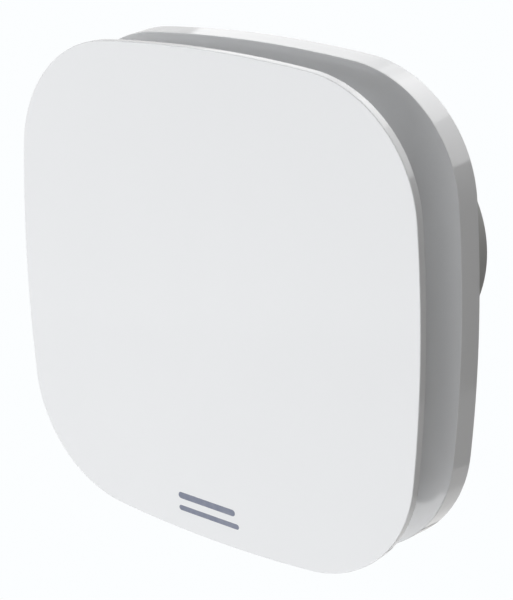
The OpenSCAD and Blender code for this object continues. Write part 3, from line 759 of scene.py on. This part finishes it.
# ------------------------------------------------------------------ fan rotors with aerofoil blades
def rotor(node, place):
    """Hub cup with a stepped face and seven cambered, twisted, swept blades; local axis z, millimetres."""
    verts, faces = [], []

    def put(pts):
        base = len(verts)
        verts.extend(Vector(place(*q)) * MM for q in pts)
        return base

    hub = [(0.02, 16.8), (1.5, 16.8), (1.5, 14.8), (3.4, 14.8), (3.4, 16.2), (11.65, 16.2), (11.65, 4.0), (11.85, 3.8),
           (12.8, 3.8), (13.0, 4.0), (13.0, 16.9), (12.8, 17.5), (12.3, 17.9), (11.7, 18.0), (9.9, 18.0), (9.7, 17.9),
           (9.6, 17.6), (9.1, 17.6), (9.0, 17.9), (8.8, 18.0), (0.02, 18.0)]
    n, m = 72, len(hub)
    base = put([(r * math.cos(2 * math.pi * k / n), r * math.sin(2 * math.pi * k / n), z) for k in range(n) for r, z in hub])
    for k in range(n):
        for q in range(m):
            a, b = base + k * m, base + ((k + 1) % n) * m
            faces.append((a + q, a + (q + 1) % m, b + (q + 1) % m, b + q))
    spans, chordwise = 14, 14
    for blade in range(7):
        start = len(verts)
        ring_n = 2 * chordwise
        for j in range(spans + 1):
            f = j / spans
            r = 12.6 + 14.0 * f
            c, p = 12.0 + 4.7 * f, math.radians(50 - 18 * f)
            t, sweep_a = 1.2 - 0.4 * f, 0.25 * f * f
            if j == spans:
                t *= 0.55
            pts = []
            for k in range(ring_n):
                up_side = k <= chordwise
                u = k / chordwise if up_side else 2 - k / chordwise
                shape = 2.0 * math.sqrt(max(u * (1 - u), 0)) * (1.0 - 0.35 * u) * 1.15
                v = 4 * 0.08 * c * u * (1 - u) + (0.5 if up_side else -0.5) * t * max(shape, 0.12)
                w = (u - 0.5) * c
                yy, zz = w * math.cos(p) - v * math.sin(p), w * math.sin(p) + v * math.cos(p)
                a = 2 * math.pi * blade / 7 + sweep_a + yy / r
                pts.append((r * math.cos(a), r * math.sin(a), min(17.0, max(4.2, 10.6 + zz))))
            put(pts)
        for j in range(spans):
            for k in range(ring_n):
                a, b = start + j * ring_n, start + (j + 1) * ring_n
                faces.append((a + k, a + (k + 1) % ring_n, b + (k + 1) % ring_n, b + k))
        faces.append(tuple(start + k for k in range(ring_n)))
        faces.append(tuple(start + spans * ring_n + k for k in range(ring_n)))
    return new_piece(node + "_blades", verts, faces, node, angle=40)


rotor("extract_rotor", lambda x, y, z: (x, -7 - z, 31.5 + y))
rotor("supply_rotor", lambda x, y, z: (x, -27 + z, -31.5 - y))

# ------------------------------------------------------------------ nodes that keep their CAD shape
REPLACED = {"front_panel", "base_housing", "duct_drum", "filter_pad", "extract_rotor", "supply_rotor"} | set(SOFT)
BEVELS = {
    "back_plate": 0.35, "inner_cover": 0.3, "intake_grille": 0.25, "outlet_grille": 0.25, 
    "outdoor_cap": 0.35, "extract_fan_frame": 0.3, "supply_fan_frame": 0.3, "filter_frame": 0.3, "humidity_sensor": 0.3,
    "peg_grommets": 0.3, "cable_grommet": 0.3, "panel_pegs": 0.5, "speed_dial": 0.3, "timer_dial": 0.3,
    "terminal_block": 0.3, "cable_clamp": 0.3, "fan_screws": 0.15, "cover_screws": 0.15, "board_screws": 0.12,
    "flange_screws": 0.12, "clamp_screws": 0.12, "terminal_screws": 0.12, "mounting_posts": 0.25,
}
for n in NODES:
    if n not in REPLACED:
        dress(n, BEVELS.get(n, 0.0))

# ------------------------------------------------------------------ stage and light
floor_me = bpy.data.meshes.new("floor")
FZ = -0.75
floor_me.from_pydata([(-14, -14, FZ), (14, -14, FZ), (14, 14, FZ), (-14, 14, FZ)], [], [(0, 1, 2, 3)])
floor = bpy.data.objects.new("floor", floor_me)
SCENE.collection.objects.link(floor)
fm_ = bpy.data.materials.new("floor_paper")
fm_.use_nodes = True
nt = fm_.node_tree
nt.nodes.clear()
o = nt.nodes.new("ShaderNodeOutputMaterial")
mixn = nt.nodes.new("ShaderNodeMixShader")
lpth = nt.nodes.new("ShaderNodeLightPath")
em = nt.nodes.new("ShaderNodeEmission")
em.inputs["Color"].default_value = (0.972, 0.990, 1.0, 1)
em.inputs["Strength"].default_value = 1.0
df = nt.nodes.new("ShaderNodeBsdfDiffuse")
df.inputs["Color"].default_value = (0.55, 0.55, 0.55, 1)
nt.links.new(lpth.outputs["Is Camera Ray"], mixn.inputs[0])
nt.links.new(df.outputs[0], mixn.inputs[1])
nt.links.new(em.outputs[0], mixn.inputs[2])
nt.links.new(mixn.outputs[0], o.inputs[0])
floor_me.materials.append(fm_)
floor.visible_diffuse = floor.visible_glossy = floor.visible_shadow = False

world = bpy.data.worlds.new("studio")
SCENE.world = world
world.use_nodes = True
wn = world.node_tree
wn.nodes.clear()
wo = wn.nodes.new("ShaderNodeOutputWorld")
wm = wn.nodes.new("ShaderNodeMixShader")
wl = wn.nodes.new("ShaderNodeLightPath")
w1 = wn.nodes.new("ShaderNodeBackground")
w1.inputs["Color"].default_value = (1.0, 0.965, 0.92, 1)
w1.inputs["Strength"].default_value = 0.177
w2 = wn.nodes.new("ShaderNodeBackground")
w2.inputs["Color"].default_value = (0.972, 0.990, 1.0, 1)
w2.inputs["Strength"].default_value = 1.0
wn.links.new(wl.outputs["Is Camera Ray"], wm.inputs[0])
wn.links.new(w1.outputs[0], wm.inputs[1])
wn.links.new(w2.outputs[0], wm.inputs[2])
wn.links.new(wm.outputs[0], wo.inputs[0])


def card(name, az0, az1, el0, el1, radiance, kind, step=20.0, tint=(1, 1, 1)):
    """A soft panel 2.5 m away that fills a patch of sky. Azimuth 0 is in front of the unit, 90 to its right.
    kind "fill" lights matt surfaces only, "glint" is only seen in reflections: a scrim and a reflector card."""
    D = 2.5
    n = max(1, round((az1 - az0) / step))
    w = (az1 - az0) / n
    for k in range(n):
        a, e = math.radians(az0 + w * (k + 0.5)), math.radians((el0 + el1) / 2)
        d = Vector((math.sin(a) * math.cos(e), -math.cos(a) * math.cos(e), math.sin(e)))
        x = Vector((math.cos(a), math.sin(a), 0))
        L = bpy.data.lights.new("%s_%d" % (name, k), "AREA")
        L.shape = "RECTANGLE"
        L.size = 2 * D * math.tan(math.radians(w / 2)) * math.cos(e)
        L.size_y = 2 * D * math.tan(math.radians((el1 - el0) / 2))
        L.energy = radiance * math.pi * L.size * L.size_y
        L.color = tint
        ob = bpy.data.objects.new(L.name, L)
        SCENE.collection.objects.link(ob)
        ob.location = d * D
        ob.rotation_mode = "QUATERNION"
        ob.rotation_quaternion = Matrix((x, d.cross(x), d)).transposed().to_quaternion()
        ob.visible_camera = False
        if kind == "fill":
            ob.visible_glossy = False
        else:
            ob.visible_diffuse = False


def scrim(name, az, el, radiance, w, h):
    """A single soft panel that lights matt surfaces, w by h metres."""
    a, e = math.radians(az), math.radians(el)
    d = Vector((math.sin(a) * math.cos(e), -math.cos(a) * math.cos(e), math.sin(e)))
    x = Vector((math.cos(a), math.sin(a), 0))
    L = bpy.data.lights.new(name, "AREA")
    L.shape = "RECTANGLE"
    L.size, L.size_y = w, h
    L.energy = radiance * math.pi * w * h
    ob = bpy.data.objects.new(name, L)
    SCENE.collection.objects.link(ob)
    ob.location = d * 2.5
    ob.rotation_mode = "QUATERNION"
    ob.rotation_quaternion = Matrix((x, d.cross(x), d)).transposed().to_quaternion()
    ob.visible_camera = False
    ob.visible_glossy = False


for az, el, radiance, w, h in (
        (-22.5, 0, 2.25, 2.07, 1.34), (22.5, 0, 0.52, 2.07, 1.34), (-22.5, -32.5, 2.59, 1.75, 1.58),
        (22.5, -32.5, 1.73, 1.75, 1.58), (-22.5, 30, 0.46, 1.79, 1.34), (-67.5, 0, 1.75, 2.07, 1.34),
        (-67.5, -32.5, 0.31, 1.75, 1.58), (0, 90, 1.11, 2.2, 2.2), (150, 60, 2.51, 1.44, 1.34),
        (-150, 60, 2.51, 1.44, 1.34), (-172, -2, 2.2, 1.2, 1.2)):
    scrim("scrim_%d_%d" % (az, el), az, el, radiance, w, h)
for name, az0, az1, el0, el1, radiance in (
        ("back", 128, 232, 16.9, 62, 1.2), ("back_right", 128, 200, 14.9, 62, 0.62),
        ("back_right_top_a", 128, 188, 35.5, 62, 0.65), ("back_right_top_b", 128, 194, 35.5, 62, 0.6),
        ("back_left_low", -146, -122, -12, 13.5, 0.6),
        ("low_right_a", 138, 150, -34, -24, 0.3), ("low_back", 138, 203, -60, -36, 0.78),
        ("low_back_b", 158, 203, -60, -36, 0.28), ("low_left", -157, -146, -50, -30, 0.8),
        ("front_low_near", -20, 20, -32, -20, 0.15),
        ("front_mid", -5, 20, -17, -1, 0.3),
        ("right_front", 20, 60, -32, -8, 0.27), ("right", 80, 120, -32, -8, 0.54),
        ("front_left", -60, 0, -20, 13, 0.14), ("front_top", -60, 20, 40, 60, 0.165)):
    card(name, az0, az1, el0, el1, radiance, "glint", 120.0)

def slanted_card(name, a, b, width, before, after, radiance):
    """A reflector card with one edge along the directions a to b, reaching width metres to that edge's left."""
    def aim(az, el):
        az, el = math.radians(az), math.radians(el)
        return Vector((math.sin(az) * math.cos(el), -math.cos(az) * math.cos(el), math.sin(el)))
    d1, d2 = aim(*a), aim(*b)
    m = (d1 + d2).normalized()
    t = (d2 - d1).normalized()
    t = (t - m * t.dot(m)).normalized()
    side = m.cross(t)
    L = bpy.data.lights.new(name, "AREA")
    L.shape = "RECTANGLE"
    L.size, L.size_y = width, before + after
    L.energy = radiance * math.pi * L.size * L.size_y
    ob = bpy.data.objects.new(name, L)
    SCENE.collection.objects.link(ob)
    ob.location = m * 2.5 - side * (width / 2) + t * ((after - before) / 2)
    ob.rotation_mode = "QUATERNION"
    ob.rotation_quaternion = Matrix((side, m.cross(side), m)).transposed().to_quaternion()
    ob.visible_camera = False
    ob.visible_diffuse = False


slanted_card("floor_bounce", (-11, -30), (9, -51), 1.45, 0.6, 1.4, 2.2)
